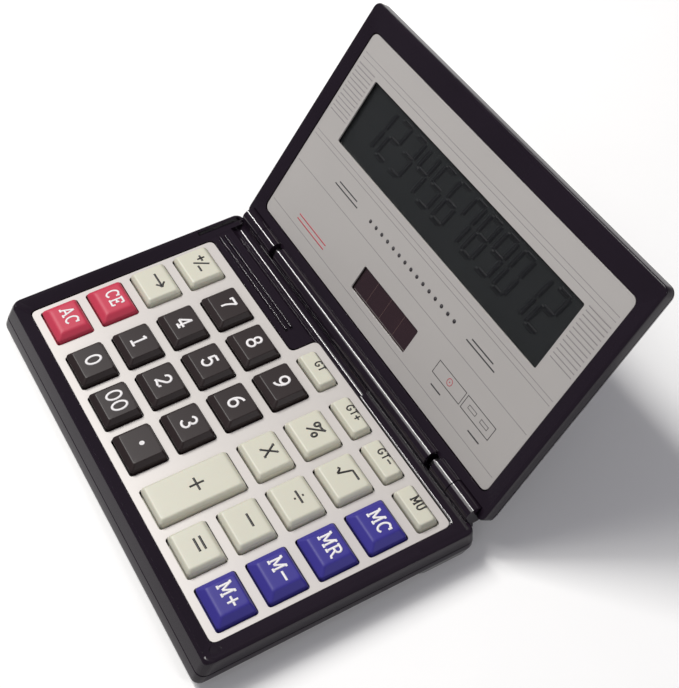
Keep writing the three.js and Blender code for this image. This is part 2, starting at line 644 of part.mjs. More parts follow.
function lidBackShell() {
  const shell = solid(loft([
    lidLevel(lidBack, lidBackRound, 3), lidLevel(lidBack + 0.3, lidBackRound * 0.62, 3.2),
    lidLevel(lidBack + 0.8, lidBackRound * 0.3, 3), lidLevel(lidBack + 1.7, 0.4, lidCornerRadius),
    lidLevel(lidLowerShellEdge, 0, lidCornerRadius),
  ], 5));
  const hollow = solid(loft([
    lidLevel(lidFloor, lidBackRound * 0.8, 2), lidLevel(lidFloor + 0.9, lidWallThickness + 0.6, 2),
    lidLevel(lidLowerShellEdge + overcut, lidWallThickness, 2),
  ].map(level => ({ ...level, y: [lidLowerEdge + lidWallThickness, level.y[1]] })), 4));
  const bosses = sides.map(([, side]) => solid(post(
    bossRadius, side * lidScrewX, lidScrewY, [lidBack + 0.4, lidFloor + 0.5])));
  const holes = sides.flatMap(([, side]) => [
    solid(post(
      screwRadius + gap, side * lidScrewX, lidScrewY, [lidBack - overcut, lidFloor + overcut])),
    solid(post(screwHeadRadius + gap, side * lidScrewX, lidScrewY, [lidBack - overcut, lidBack + 0.95])),
  ]);
  return shell.subtract(hollow).subtract(hingeRoom()).add(join(bosses)).subtract(join(holes));
}

function lidFacePlate() {
  return solid(slab(
    [-lidPlateHalf, lidPlateHalf], [lidPlateBottom, lidPlateTop],
    [lidFace - plateThickness, lidFace], lidPlateRadius, 4))
    .subtract(lidOpening(windowWidth, windowY, 0, [lidWebTop, lidRim]))
    .subtract(lidOpening(solarWidth, solarY, 0, [lidWebTop, lidRim]));
}

const centredSlab = (width, y, reach, z) =>
  slab([-width / 2 - reach, width / 2 + reach], grow(y, reach), z, 0.5);

// ---------- assembly ----------
const calculator = new THREE.Group();
const keyCase = new THREE.Group();
const lid = new THREE.Group();
calculator.add(keyCase, lid);

function add(group, name, shape, material) {
  const geometry = shape instanceof THREE.BufferGeometry ? shape : geometryOf(shape);
  const mesh = new THREE.Mesh(geometry, material);
  mesh.name = name;
  group.add(mesh);
}

add(keyCase, 'lower_case', lowerCase(), glossBlack);
add(keyCase, 'upper_case', upperCase(), glossBlack);
add(keyCase, 'key_plate', keyPlate(), silverPlate);
add(keyCase, 'dome_sheet', domeSheet(), domeFilm);
add(keyCase, 'key_board', sheet(-0.8, boardRearLeft, [boardTop - boardThickness, boardTop]), boardGreen);
for (const key of keys) add(keyCase, `key_${key.name}`, keyCap(key), keyFinishes[key.style]);
add(keyCase, 'battery_cell', post(cellRadius, cellX, cellY, [cellBottom, cellTop], 32), steel);
add(keyCase, 'battery_contact_positive', batteryContact(1), steel);
add(keyCase, 'battery_contact_negative', batteryContact(-1), steel);
add(keyCase, 'battery_cover', batteryCover(), glossBlack);
for (const [name, side] of sides) {
  add(keyCase, `front_foot_${name}`, post(
    footRadius, side * footX, footY, [bulgeBottom, underside + 0.1], 24), rubber);
  add(keyCase, `hinge_pin_${name}`, hingePin(side), steel);
}
for (const [name, x, y] of screwSpots) {
  add(keyCase, name, screw(x, y, underside + 0.3, webBottom - 0.5), steel);
}
add(keyCase, 'flex_cable', flexCable(), flexFilm);

add(lid, 'lid_back_shell', lidBackShell(), glossBlack);
add(lid, 'lid_frame', lidFrame(), glossBlack);
add(lid, 'lid_face_plate', lidFacePlate(), lidPlate);
add(lid, 'display_window', centredSlab(
  windowWidth, windowY, paneReach, [lidWebTop - paneThickness, lidWebTop]), glass);
add(lid, 'lcd_panel', centredSlab(windowWidth, windowY, lcdReach, [lcdBottom, lcdTop]), lcdGlass);
add(lid, 'lcd_connector_strip', box(
  [-windowWidth / 2, windowWidth / 2], [windowY[0] - lcdReach, windowY[0] - lcdReach + connectorWidth],
  [connectorTop - connectorHeight, connectorTop]), rubber);
add(lid, 'display_board', slab(
  [-windowWidth / 2, windowWidth / 2], [windowY[0] - 12, windowY[1]],
  [lidBoardTop - lidBoardThickness, lidBoardTop], 1), boardGreen);
add(lid, 'solar_cell', centredSlab(solarWidth, solarY, 1, [lidWebTop - 0.7, lidWebTop]), solarGlass);
for (const [name, side] of sides) {
  add(lid, `lid_screw_${name}`, screw(side * lidScrewX, lidScrewY, lidBack + 0.1, lidWebBottom - 0.4), steel);
}

lid.position.set(0, hingeY, hingeRise);
lid.rotation.x = THREE.MathUtils.degToRad(180 - openAngle);
calculator.position.set(0, -(restSpan[0] + restSpan[1]) / 2, -bulgeBottom);

export default calculator;
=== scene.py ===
import json
import math

import bmesh
import bpy
from mathutils import Matrix, Vector


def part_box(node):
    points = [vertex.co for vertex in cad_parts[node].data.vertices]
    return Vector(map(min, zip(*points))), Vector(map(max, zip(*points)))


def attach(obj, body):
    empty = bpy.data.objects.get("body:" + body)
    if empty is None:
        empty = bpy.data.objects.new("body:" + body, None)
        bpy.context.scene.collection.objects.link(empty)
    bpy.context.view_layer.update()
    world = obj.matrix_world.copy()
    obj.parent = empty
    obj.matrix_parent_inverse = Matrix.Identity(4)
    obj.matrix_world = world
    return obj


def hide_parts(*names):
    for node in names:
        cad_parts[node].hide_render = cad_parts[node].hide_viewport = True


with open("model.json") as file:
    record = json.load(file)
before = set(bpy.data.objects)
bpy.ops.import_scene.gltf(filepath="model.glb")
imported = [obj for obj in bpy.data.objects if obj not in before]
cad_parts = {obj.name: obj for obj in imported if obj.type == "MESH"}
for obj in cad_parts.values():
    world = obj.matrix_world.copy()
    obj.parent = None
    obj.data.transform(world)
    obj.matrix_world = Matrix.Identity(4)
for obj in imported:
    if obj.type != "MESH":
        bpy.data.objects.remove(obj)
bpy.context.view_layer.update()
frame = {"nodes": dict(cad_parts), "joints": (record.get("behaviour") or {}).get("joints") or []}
mm = 0.001


# Camera
# A long lens over the case's front right corner looks down and to the left across the keys
# to the raised lid. Its place is given from the middle of the key plate's front edge.
plate_low, plate_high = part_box("key_plate")
plate_front = Vector((0, plate_low.y, plate_high.z))
camera_heading = math.radians(62.95)
camera_tilt = math.radians(48.82)
camera_roll = math.radians(-2.53)
lens = bpy.data.cameras.new("camera")
lens.sensor_fit = "HORIZONTAL"
lens.lens = 70.15
camera = bpy.data.objects.new("camera", lens)
camera.matrix_world = (
    Matrix.Translation(plate_front + Vector((218.3, -41.0, 287.5)) * mm)
    @ Matrix.Rotation(camera_heading, 4, "Z")
    @ Matrix.Rotation(math.pi / 2 - camera_tilt, 4, "X")
    @ Matrix.Rotation(camera_roll, 4, "Z")
)
bpy.context.scene.collection.objects.link(camera)
bpy.context.scene.camera = camera


# Table and light
# The calculator stands on a pale sheet in a dim room, under a soft light from the upper left. Two
# narrow strips draw thin bright lines along its glossy edges, and a weak panel fills the front.
bpy.context.scene.view_settings.view_transform = "Standard"
room = bpy.data.worlds.new("room")
room.use_nodes = True
dim = room.node_tree.nodes["Background"]
dim.inputs["Color"].default_value = (0.9, 0.88, 1.0, 1)
dim.inputs["Strength"].default_value = 0.2
bright = room.node_tree.nodes.new("ShaderNodeBackground")
bright.inputs["Color"].default_value = (0.9, 0.9, 0.9, 1)
seen = room.node_tree.nodes.new("ShaderNodeLightPath")
either = room.node_tree.nodes.new("ShaderNodeMixShader")
outside = room.node_tree.nodes["World Output"]
room.node_tree.links.new(seen.outputs["Is Camera Ray"], either.inputs["Fac"])
room.node_tree.links.new(dim.outputs["Background"], either.inputs[1])
room.node_tree.links.new(bright.outputs["Background"], either.inputs[2])
room.node_tree.links.new(either.outputs["Shader"], outside.inputs["Surface"])
bpy.context.scene.world = room
lit_point = Vector((0, 0, 0.03))  # inside the lid, a little above the table


def softbox(name, place, size, power, tint=(1, 1, 1)):
    """A rectangular light of that size and place in metres, turned to face the calculator."""
    light = bpy.data.lights.new(name, "AREA")
    light.shape = "RECTANGLE"
    light.size, light.size_y = size
    light.energy = power
    light.color = tint
    lamp = bpy.data.objects.new(name, light)
    lamp.location = place
    lamp.rotation_euler = (lit_point - lamp.location).to_track_quat("-Z", "Y").to_euler()
    bpy.context.scene.collection.objects.link(lamp)


softbox("overhead_softbox", (-0.48, -0.36, 1.0), (0.5, 0.5), 5.0, (1.0, 0.985, 0.96))
softbox("left_strip", (-0.70, -0.16, 0.95), (0.05, 0.55), 9, (1.0, 0.99, 0.97))
softbox("right_strip", (0.85, 0.34, 0.70), (0.05, 0.45), 2.0)
softbox("front_panel", (0.7, -0.75, 0.75), (0.6, 0.5), 0.8)


patch_scale = 45  # of the broad change in tone, in patches a metre
polish_range = (0.8, 1.25)  # the grain varies the roughness between these shares of it
grain_strength = 0.5


def grained(name, colour, roughness, grain, depth, mottle=0.06, streak=(1, 1, 1), **sockets):
    """A finely grained surface: grain and depth are its size and height in mm, mottle its change
    of tone, and streak its stretch along each axis."""
    material = bpy.data.materials.new(name)
    material.use_nodes = True
    nodes, links = material.node_tree.nodes, material.node_tree.links
    surface = nodes["Principled BSDF"]
    for socket, value in sockets.items():
        surface.inputs[socket.replace("_", " ")].default_value = value
    place = nodes.new("ShaderNodeTexCoord")
    stretch = nodes.new("ShaderNodeMapping")
    stretch.inputs["Scale"].default_value = streak
    links.new(place.outputs["Object"], stretch.inputs["Vector"])
    fine = nodes.new("ShaderNodeTexNoise")
    fine.inputs["Scale"].default_value = 1 / (grain * mm)
    fine.inputs["Detail"].default_value = 3
    broad = nodes.new("ShaderNodeTexNoise")
    broad.inputs["Scale"].default_value = patch_scale
    broad.inputs["Detail"].default_value = 4
    for texture in (fine, broad):
        links.new(stretch.outputs["Vector"], texture.inputs["Vector"])
    tone = nodes.new("ShaderNodeMix")
    tone.data_type = "RGBA"
    tone.inputs["A"].default_value = (*[c * (1 - mottle) for c in colour], 1)
    tone.inputs["B"].default_value = (*[min(1, c * (1 + mottle)) for c in colour], 1)
    links.new(broad.outputs["Fac"], tone.inputs["Factor"])
    links.new(tone.outputs["Result"], surface.inputs["Base Color"])
    worn = nodes.new("ShaderNodeMapRange")
    worn.inputs["To Min"].default_value = roughness * polish_range[0]
    worn.inputs["To Max"].default_value = roughness * polish_range[1]
    links.new(fine.outputs["Fac"], worn.inputs["Value"])
    links.new(worn.outputs["Result"], surface.inputs["Roughness"])
    bump = nodes.new("ShaderNodeBump")
    bump.inputs["Strength"].default_value = grain_strength
    bump.inputs["Distance"].default_value = depth * mm
    links.new(fine.outputs["Fac"], bump.inputs["Height"])
    links.new(bump.outputs["Normal"], surface.inputs["Normal"])
    return material


reach = 3  # metres from the middle of the sheet to its sides
tabletop = bpy.data.meshes.new("tabletop")
tabletop.from_pydata(
    [(-reach, -reach, 0), (reach, -reach, 0), (reach, reach, 0), (-reach, reach, 0)], [],
    [(0, 1, 2, 3)])
tabletop.materials.append(grained("pale_card", (0.97, 0.97, 0.96), 0.8, 0.6, 0.01, mottle=0.01))
table = bpy.data.objects.new("tabletop", tabletop)
bpy.context.scene.collection.objects.link(table)


# Case shells
# Two injection-moulded halves of glossy black plastic, screwed together from below, meet along
# a thin joint line. The upper one carries the sloped bezel, the ribs and the hinge's outer knuckles.
shell_edge = 0.22  # radius of the rounded edges of the large mouldings, in mm
weld_distance = 0.002 * mm
flat_angle = math.radians(0.6)  # faces nearer to one plane than this are joined
edge_angle = math.radians(32)  # sharper edges than this are rounded


def settled(piece):
    """The piece as a plain mesh, with its modifiers worked into it."""
    bpy.context.view_layer.update()
    graph = bpy.context.evaluated_depsgraph_get()
    mesh = bpy.data.meshes.new_from_object(
        piece.evaluated_get(graph), preserve_all_data_layers=True, depsgraph=graph)
    piece.modifiers.clear()
    piece.data = mesh
    mesh.name = piece.name
    return piece


def smoothed(piece, sharp=38):
    """Smooth shading that keeps flat faces flat and leaves edges sharper than that angle crisp."""
    piece.data.shade_smooth()
    piece.data.set_sharp_from_angle(angle=math.radians(sharp))
    even = piece.modifiers.new("even", "WEIGHTED_NORMAL")
    even.keep_sharp = True
    even.weight = 80
    return settled(piece)


def moulded(name, node, body, material, edge=0.15, segments=3):
    """A copy of a CAD solid, in its place, with the edges rounded as a mould leaves them."""
    piece = bpy.data.objects.new(name, frame["nodes"][node].data.copy())
    bpy.context.scene.collection.objects.link(piece)
    shape = bmesh.new()
    shape.from_mesh(piece.data)
    bmesh.ops.remove_doubles(shape, verts=shape.verts, dist=weld_distance)
    bmesh.ops.dissolve_limit(shape, angle_limit=flat_angle, verts=shape.verts, edges=shape.edges)
    corners = [e for e in shape.edges if e.is_manifold and e.calc_face_angle() > edge_angle]
    bmesh.ops.bevel(
        shape, geom=corners, offset=edge * mm, segments=segments, profile=0.5, affect="EDGES",
        clamp_overlap=True)
    shape.to_mesh(piece.data)
    shape.free()
    piece.data.materials.clear()
    piece.data.materials.append(material)
    smoothed(piece)
    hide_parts(node)
    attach(piece, body)


gloss_black = grained(
    "gloss_black_moulding", (0.012, 0.0075, 0.013), 0.12, 0.9, 0.005, mottle=0.25,
    Specular_IOR_Level=0.32)
moulded("case_upper_shell", "upper_case", "case", gloss_black, shell_edge)
moulded("case_lower_shell", "lower_case", "case", gloss_black, shell_edge)
moulded(
    "battery_cover_moulding", "battery_cover", "battery_cover", gloss_black, 0.1)


# Key plate
# A thin satin silver sheet with a rounded opening for every key is laid into the upper shell.
# Its punched edges are slightly rolled over, and its lacquer has a fine metallic grain.
silver_sheet = grained(
    "satin_silver_lacquer", (0.55, 0.52, 0.495), 0.4, 0.12, 0.006, mottle=0.03, Metallic=0.15,
    Specular_IOR_Level=0.6)
moulded("key_plate_sheet", "key_plate", "case", silver_sheet, 0.12)


# Key caps
# Each key is a moulded cap with a straight stem, a flange that holds it under the plate, and a
# raised top whose sides slope in from a shoulder: steeper at the front than behind.
flange_reach = 0.7 * mm
stem_inset = flange_reach + 0.15 * mm  # the stem is drawn in slightly, for release from its mould
flange_depth = 0.5 * mm
stem_radius = 0.9 * mm  # round the stem's corners
top_tightening = 0.2  # share of that radius lost by the top
top_run = 1.2 * mm  # how far the flat top is drawn before its slope's corner is rounded
small_depth = 8 * mm  # keys less deep than this are of the small row
small_share = 0.75  # of the other caps' slopes
cap_sharpness = 50  # degrees
cap_styles = {  # height of the shoulder, run of the slopes and rounding of their edges, in mm
    "number": {"shoulder": 1.35, "side": 1.3, "front": 1.7, "rear": 0.5, "round": 0.16},
    "clear": {"shoulder": 0.9, "side": 1.9, "front": 1.9, "rear": 0.9, "round": 0.5},
    "memory": {"shoulder": 0.9, "side": 2.1, "front": 2.1, "rear": 0.8, "round": 0.3},
    "operator": {"shoulder": 1.2, "side": 0.9, "front": 0.9, "rear": 0.9, "round": 0.45},
}
cap_finishes = {
    "number": ("charcoal_key_plastic", grained(
        "charcoal_key_plastic", (0.020, 0.0125, 0.0125), 0.4, 0.14, 0.004, mottle=0.12,
        Specular_IOR_Level=0.26)),
    "clear": ("pink_key_plastic", grained(
        "pink_key_plastic", (0.53, 0.045, 0.085), 0.42, 0.14, 0.004, mottle=0.05,
        Specular_IOR_Level=0.22)),
    "memory": ("violet_key_plastic", grained(
        "violet_key_plastic", (0.040, 0.032, 0.25), 0.42, 0.14, 0.004, mottle=0.06,
        Specular_IOR_Level=0.22)),
    "operator": ("cream_key_plastic", grained(
        "cream_key_plastic", (0.60, 0.575, 0.47), 0.42, 0.14, 0.004, mottle=0.03,
        Subsurface_Weight=0.05)),
}
key_styles = {
    "clear": ["all_clear", "clear_entry"],
    "number": ["0", "00", "point", *"123456789"],
    "memory": ["memory_plus", "memory_minus", "memory_recall", "memory_clear"],
    "operator": [
        "backspace", "sign", "plus", "multiply", "percent", "equals", "minus", "divide", "root",
        "grand_total", "grand_total_plus", "grand_total_minus", "markup"],
}


def rounded_ring(x, y, radius, steps=5):
    """Points round a rectangle with rounded corners, anticlockwise."""
    ring = []
    for turn, (cx, cy) in enumerate([
            (x[1] - radius, y[1] - radius), (x[0] + radius, y[1] - radius),
            (x[0] + radius, y[0] + radius), (x[1] - radius, y[0] + radius)]):
        for step in range(steps + 1):
            angle = (turn + step / steps) * math.pi / 2
            ring.append((cx + radius * math.cos(angle), cy + radius * math.sin(angle)))
    return ring


def lofted(name, levels):
    """A closed solid through rounded rectangles, each given as height, x span, y span and radius."""
    shape = bmesh.new()
    rings = [
        [shape.verts.new((px, py, z)) for px, py in rounded_ring(x, y, radius)]
        for z, x, y, radius in levels]
    count = len(rings[0])
    for low, high in zip(rings, rings[1:]):
        for i in range(count):
            shape.faces.new((low[i], low[(i + 1) % count], high[(i + 1) % count], high[i]))
    shape.faces.new(rings[0][::-1])
    shape.faces.new(rings[-1])
    piece = bpy.data.objects.new(name, bpy.data.meshes.new(name))
    shape.to_mesh(piece.data)
    shape.free()
    bpy.context.scene.collection.objects.link(piece)
    return piece


def eased(path, reach, steps=4):
    """A path of (inset, height) points with its inner corners rounded, reach either side of each."""
    out = [path[0]]
    for before, corner, after in zip(path, path[1:], path[2:]):
        before, corner, after = Vector(before), Vector(corner), Vector(after)
        start = corner + (before - corner).normalized() * reach
        end = corner + (after - corner).normalized() * reach
        for step in range(steps + 1):
            t = step / steps
            out.append(tuple(start * (1 - t) ** 2 + corner * 2 * t * (1 - t) + end * t ** 2))
    return [*out, path[-1]]


def key_cap(key, style):
    """A key's cap, in its CAD solid's place and height."""
    low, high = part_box(f"key_{key}")
    shape = cap_styles[style]
    scale = small_share if high.y - low.y < small_depth else 1
    x = (low.x + stem_inset, high.x - stem_inset)
    y = (low.y + stem_inset, high.y - stem_inset)
    levels = [
        (z, (low.x, high.x), (low.y, high.y), stem_radius + flange_reach / 2)
        for z in (low.z, low.z + flange_depth)]
    shoulder = plate_high.z + shape["shoulder"] * scale * mm
    sides = [shape[side] * scale * mm for side in ("side", "front", "rear")]
    flat = 1 + top_run / sides[0]
    # the profile runs up the stem, over the shoulder, up the slope and on to the flat top
    profile = [(0, low.z + flange_depth), (0, shoulder), (1 * mm, high.z), (flat * mm, high.z)]
    for inset, z in eased(profile, shape["round"] * mm):
        share = inset / mm
        levels.append((
            z, (x[0] + sides[0] * share, x[1] - sides[0] * share),
            (y[0] + sides[1] * share, y[1] - sides[2] * share),
            stem_radius * (1 - top_tightening * min(share, 1))))
    cap = lofted(f"cap_{key}", levels)
    slot, material = cap_finishes[style]
    cap.data.materials.append(material)
    smoothed(cap, cap_sharpness)
    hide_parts(f"key_{key}")
    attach(cap, f"key_{key}")


for style, names in key_styles.items():
    for key in names:
        key_cap(key, style)


# Key legends
# The signs are hot-stamped foil, raised a hair above the caps. Figures and the clear and memory
# keys' letters have slab serifs; the signs on the cream keys are drawn with a thin even line.
def arc(cx, cy, rx, ry, start, end):
    """Points along part of an ellipse, between two angles in degrees."""
    steps = max(2, round(abs(end - start) / 15))
    turns = [math.radians(start + (end - start) * i / steps) for i in range(steps + 1)]
    return [(cx + rx * math.cos(a), cy + ry * math.sin(a)) for a in turns]


def foot(x, y, half=0.14):
    """A serif: a short level stroke."""
    return [(x - half, y), (x + half, y)]


def ring(cx, cy, rx, ry):
    return arc(cx, cy, rx, ry, 0, 360)


low_line, high_line = 0.06, 0.94
mark_shapes = {  # width of each mark's cell, which is one unit high, and the strokes in it
    "0": (0.76, [ring(0.38, 0.5, 0.29, 0.44)]),
    "1": (0.62, [
        [(0.31, low_line), (0.31, 0.96)], [(0.10, 0.82), (0.31, 0.93)],
        foot(0.31, low_line, 0.25)]),
    "2": (0.76, [
        arc(0.38, 0.70, 0.26, 0.24, 185, -35), [(0.60, 0.57), (0.10, 0.09)],
        [(0.08, 0.09), (0.24, 0.13), (0.50, low_line), (0.68, 0.10), (0.68, 0.22)]]),
    "3": (0.76, [arc(0.36, 0.72, 0.24, 0.22, 165, -90), arc(0.36, 0.28, 0.28, 0.22, 90, -165)]),
    "4": (0.80, [
        [(0.50, low_line), (0.50, 0.96)], [(0.48, 0.93), (0.08, 0.30)],
        [(0.06, 0.30), (0.74, 0.30)], foot(0.50, low_line, 0.2)]),
    "5": (0.76, [
        [(0.62, high_line), (0.18, high_line)], [(0.19, high_line), (0.16, 0.50)],
        arc(0.38, 0.34, 0.28, 0.28, 140, -160)]),
    "6": (0.76, [ring(0.38, 0.32, 0.27, 0.26), arc(0.56, 0.38, 0.46, 0.55, 90, 180)]),
    "7": (0.76, [
        [(0.08, 0.72), (0.08, high_line)], [(0.05, 0.90), (0.68, 0.90)],
        [(0.66, 0.91), (0.48, 0.62), (0.36, 0.34), (0.34, 0.04)]]),
    "8": (0.76, [ring(0.38, 0.72, 0.22, 0.21), ring(0.38, 0.29, 0.28, 0.23)]),
    "9": (0.76, [ring(0.38, 0.68, 0.27, 0.26), arc(0.20, 0.62, 0.46, 0.55, 0, -90)]),
    "A": (0.84, [
        [(0.12, low_line), (0.42, 0.96)], [(0.42, 0.96), (0.72, low_line)],
        [(0.22, 0.34), (0.62, 0.34)], foot(0.12, low_line), foot(0.72, low_line)]),
    "C": (0.78, [arc(0.42, 0.5, 0.31, 0.44, 48, 312), [(0.70, 0.94), (0.70, 0.66)]]),
    "E": (0.78, [
        [(0.20, low_line), (0.20, high_line)], [(0.06, high_line), (0.68, high_line)],
        [(0.06, low_line), (0.70, low_line)], [(0.20, 0.51), (0.48, 0.51)],
        [(0.48, 0.38), (0.48, 0.64)], [(0.66, high_line), (0.66, 0.72)],
        [(0.68, low_line), (0.68, 0.28)]]),
    "M": (0.98, [
        [(0.16, low_line), (0.16, high_line)], [(0.16, high_line), (0.48, 0.24)],
        [(0.48, 0.24), (0.80, high_line)], [(0.80, low_line), (0.80, high_line)],
        foot(0.16, low_line), foot(0.80, low_line), foot(0.12, high_line, 0.1),
        foot(0.84, high_line, 0.1)]),
    "R": (0.88, [
        [(0.18, low_line), (0.18, high_line)], [(0.04, high_line), (0.42, high_line)],
        arc(0.42, 0.73, 0.23, 0.21, 90, -90), [(0.42, 0.52), (0.18, 0.52)],
        [(0.44, 0.52), (0.66, 0.10), (0.84, 0.06)], foot(0.18, low_line)]),
    "U": (0.86, [
        [(0.16, high_line), (0.16, 0.34), *arc(0.41, 0.34, 0.25, 0.28, 180, 360),
         (0.66, high_line)],
        foot(0.16, high_line), foot(0.66, high_line)]),
    "G": (0.86, [arc(0.42, 0.5, 0.34, 0.44, 48, 350), [(0.76, 0.46), (0.44, 0.46)]]),
    "T": (0.72, [[(0.04, high_line), (0.68, high_line)], [(0.36, high_line), (0.36, 0.04)]]),
    "+": (0.86, [[(0.06, 0.48), (0.80, 0.48)], [(0.43, 0.11), (0.43, 0.85)]]),
    "-": (0.86, [[(0.06, 0.48), (0.80, 0.48)]]),
    "multiply": (0.86, [
        [(0.10, 0.06), (0.76, 0.94)], [(0.12, 0.94), (0.74, 0.06)], foot(0.74, 0.06, 0.1),
        foot(0.12, 0.94, 0.1), foot(0.10, 0.06, 0.08), foot(0.76, 0.94, 0.08)]),
    "divide": (1.1, [
        [(0.02, 0.5), (1.08, 0.5)], [(0.55, 0.72), (0.55, 0.84)], [(0.55, 0.16), (0.55, 0.28)]]),
    "equals": (1.1, [[(0.02, 0.69), (1.08, 0.69)], [(0.02, 0.31), (1.08, 0.31)]]),
    "minus": (1.1, [[(0.02, 0.5), (1.08, 0.5)]]),
    "plus": (1.1, [[(0.02, 0.5), (1.08, 0.5)], [(0.55, 0.0), (0.55, 1.0)]]),
    "percent": (1.0, [
        ring(0.18, 0.76, 0.16, 0.18), ring(0.82, 0.2, 0.16, 0.18), [(0.1, 0.0), (0.95, 1.0)],
        [(0.26, 0.93), (0.5, 0.84), (0.76, 0.88), (0.95, 1.0)]]),
    "root": (1.5, [
        [(0.0, 0.24), (0.12, 0.34), (0.22, 0.26), (0.40, 0.04)], [(0.40, 0.02), (0.64, 0.90)],
        [(0.62, 0.90), (0.70, 0.97), (1.5, 0.97)]]),
    "backspace": (1.5, [
        [(0.0, 0.5), (1.48, 0.5)], [(1.06, 0.82), (1.28, 0.62), (1.5, 0.5)],
        [(1.5, 0.5), (1.28, 0.38), (1.06, 0.18)]]),
    "sign": (1.6, [
        [(0.0, 0.68), (0.62, 0.68)], [(0.31, 0.40), (0.31, 0.96)], [(0.50, 0.0), (1.12, 1.0)],
        [(0.92, 0.18), (1.55, 0.18)]]),
    "point": (0.2, [ring(0.1, 0.5, 0.05, 0.05), ring(0.1, 0.5, 0.1, 0.1)]),
}


def stroke_tree():
    """Geometry nodes that turn drawn lines into flat strips of a given width and thickness."""
    tree = bpy.data.node_groups.new("printed_strokes", "GeometryNodeTree")
    tree.interface.new_socket("Geometry", in_out="INPUT", socket_type="NodeSocketGeometry")
    for name in ("Width", "Thickness"):
        tree.interface.new_socket(name, in_out="INPUT", socket_type="NodeSocketFloat")
    tree.interface.new_socket("Ink", in_out="INPUT", socket_type="NodeSocketMaterial")
    tree.interface.new_socket("Geometry", in_out="OUTPUT", socket_type="NodeSocketGeometry")
    nodes, links = tree.nodes, tree.links
    given, made = nodes.new("NodeGroupInput"), nodes.new("NodeGroupOutput")
    upright = nodes.new("GeometryNodeSetCurveNormal")
    upright.mode = "Z_UP"
    section = nodes.new("GeometryNodeCurvePrimitiveQuadrilateral")
    sweep = nodes.new("GeometryNodeCurveToMesh")
    sweep.inputs["Fill Caps"].default_value = True
    real = nodes.new("GeometryNodeRealizeInstances")
    inked = nodes.new("GeometryNodeSetMaterial")
    links.new(given.outputs["Geometry"], upright.inputs["Curve"])
    links.new(given.outputs["Width"], section.inputs["Width"])
    links.new(given.outputs["Thickness"], section.inputs["Height"])
    links.new(upright.outputs["Curve"], sweep.inputs["Curve"])
    links.new(section.outputs["Curve"], sweep.inputs["Profile Curve"])
    links.new(sweep.outputs["Mesh"], real.inputs["Geometry"])
    links.new(real.outputs["Geometry"], inked.inputs["Geometry"])
    links.new(given.outputs["Ink"], inked.inputs["Material"])
    links.new(inked.outputs["Geometry"], made.inputs["Geometry"])
    return tree


strokes = stroke_tree()
stroke_step = 0.003 * mm  # crossing strokes lie one on another


def printed(name, paths, width, place, body, ink, thickness=0.05):
    """Lines printed on a flat face: paths in mm on that face, width in mm, place its matrix."""
    drawing = bpy.data.curves.new(name, "CURVE")
    drawing.dimensions = "3D"
    for path in paths:
        line = drawing.splines.new("POLY")
        closed = len(path) > 2 and (Vector(path[0]) - Vector(path[-1])).length < 0.001
        points = path[:-1] if closed else path
        line.points.add(len(points) - 1)
        line.use_cyclic_u = closed
        level = stroke_step * len(drawing.splines)
        for point, (px, py) in zip(line.points, points):
            point.co = (px * mm, py * mm, level, 1)
    piece = bpy.data.objects.new(name, drawing)
    bpy.context.scene.collection.objects.link(piece)
    swept = piece.modifiers.new("swept", "NODES")
    swept.node_group = strokes
    sockets = {s.name: s.identifier for s in strokes.interface.items_tree if s.in_out == "INPUT"}
    swept[sockets["Width"]] = width * mm
    swept[sockets["Thickness"]] = thickness * mm
    swept[sockets["Ink"]] = ink
    bpy.context.view_layer.update()
    graph = bpy.context.evaluated_depsgraph_get()
    mesh = bpy.data.meshes.new_from_object(piece.evaluated_get(graph), depsgraph=graph)
    bpy.data.objects.remove(piece)
    mesh.transform(place)
    layer = bpy.data.objects.new(name, mesh)
    bpy.context.scene.collection.objects.link(layer)
    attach(layer, body)


def lettering(marks, height, gap=0.06):
    """The strokes of a row of marks of that height in mm, centred on the origin."""
    widths = [mark_shapes[mark][0] for mark in marks]
    start = -(sum(widths) + gap * (len(widths) - 1)) / 2
    paths = []
    for mark, wide in zip(marks, widths):
        for stroke in mark_shapes[mark][1]:
            paths.append([((start + x) * height, (y - 0.5) * height) for x, y in stroke])
        start += wide + gap
    return paths


white_ink = grained("white_stamping_foil", (0.82, 0.80, 0.80), 0.4, 0.2, 0.003, mottle=0.02)
black_ink = grained("black_stamping_foil", (0.012, 0.01, 0.01), 0.4, 0.2, 0.003, mottle=0.1)
legend_rows = [  # key, marks, height, stroke width and how far behind the cap's middle
    *[(digit, digit, 5.0, 0.74, 0.8) for digit in "0123456789"],
    ("00", "00", 5.0, 0.70, 0.8),
    ("point", ["point"], 5.0, 0.5, 1.0),
    ("all_clear", "AC", 4.2, 0.62, 1.2), ("clear_entry", "CE", 4.2, 0.62, 1.2),
    ("memory_plus", "M+", 4.0, 0.62, 1.2), ("memory_minus", "M-", 4.0, 0.62, 1.2),
    ("memory_recall", "MR", 4.0, 0.62, 1.2), ("memory_clear", "MC", 4.0, 0.62, 1.2),
    *[(key, [key], 4.2, 0.62, 1.1) for key in (
        "plus", "minus", "multiply", "divide", "equals", "percent", "root", "backspace", "sign")],
    ("grand_total", "GT", 2.3, 0.46, 1.2), ("grand_total_plus", "GT+", 2.3, 0.46, 1.2),
    ("grand_total_minus", "GT-", 2.3, 0.46, 1.2), ("markup", "MU", 2.5, 0.46, 1.0),
]
for key, marks, height, width, behind in legend_rows:
    low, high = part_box(f"key_{key}")
    middle = Vector(((low.x + high.x) / 2, (low.y + high.y) / 2 + behind * mm, high.z))
    on_cream = key in key_styles["operator"]
    slot, ink = ("charcoal_key_plastic", black_ink) if on_cream else ("cream_key_plastic", white_ink)
    printed(
        f"legend_{key}", lettering(marks, height), width, Matrix.Translation(middle), f"key_{key}",
        ink)


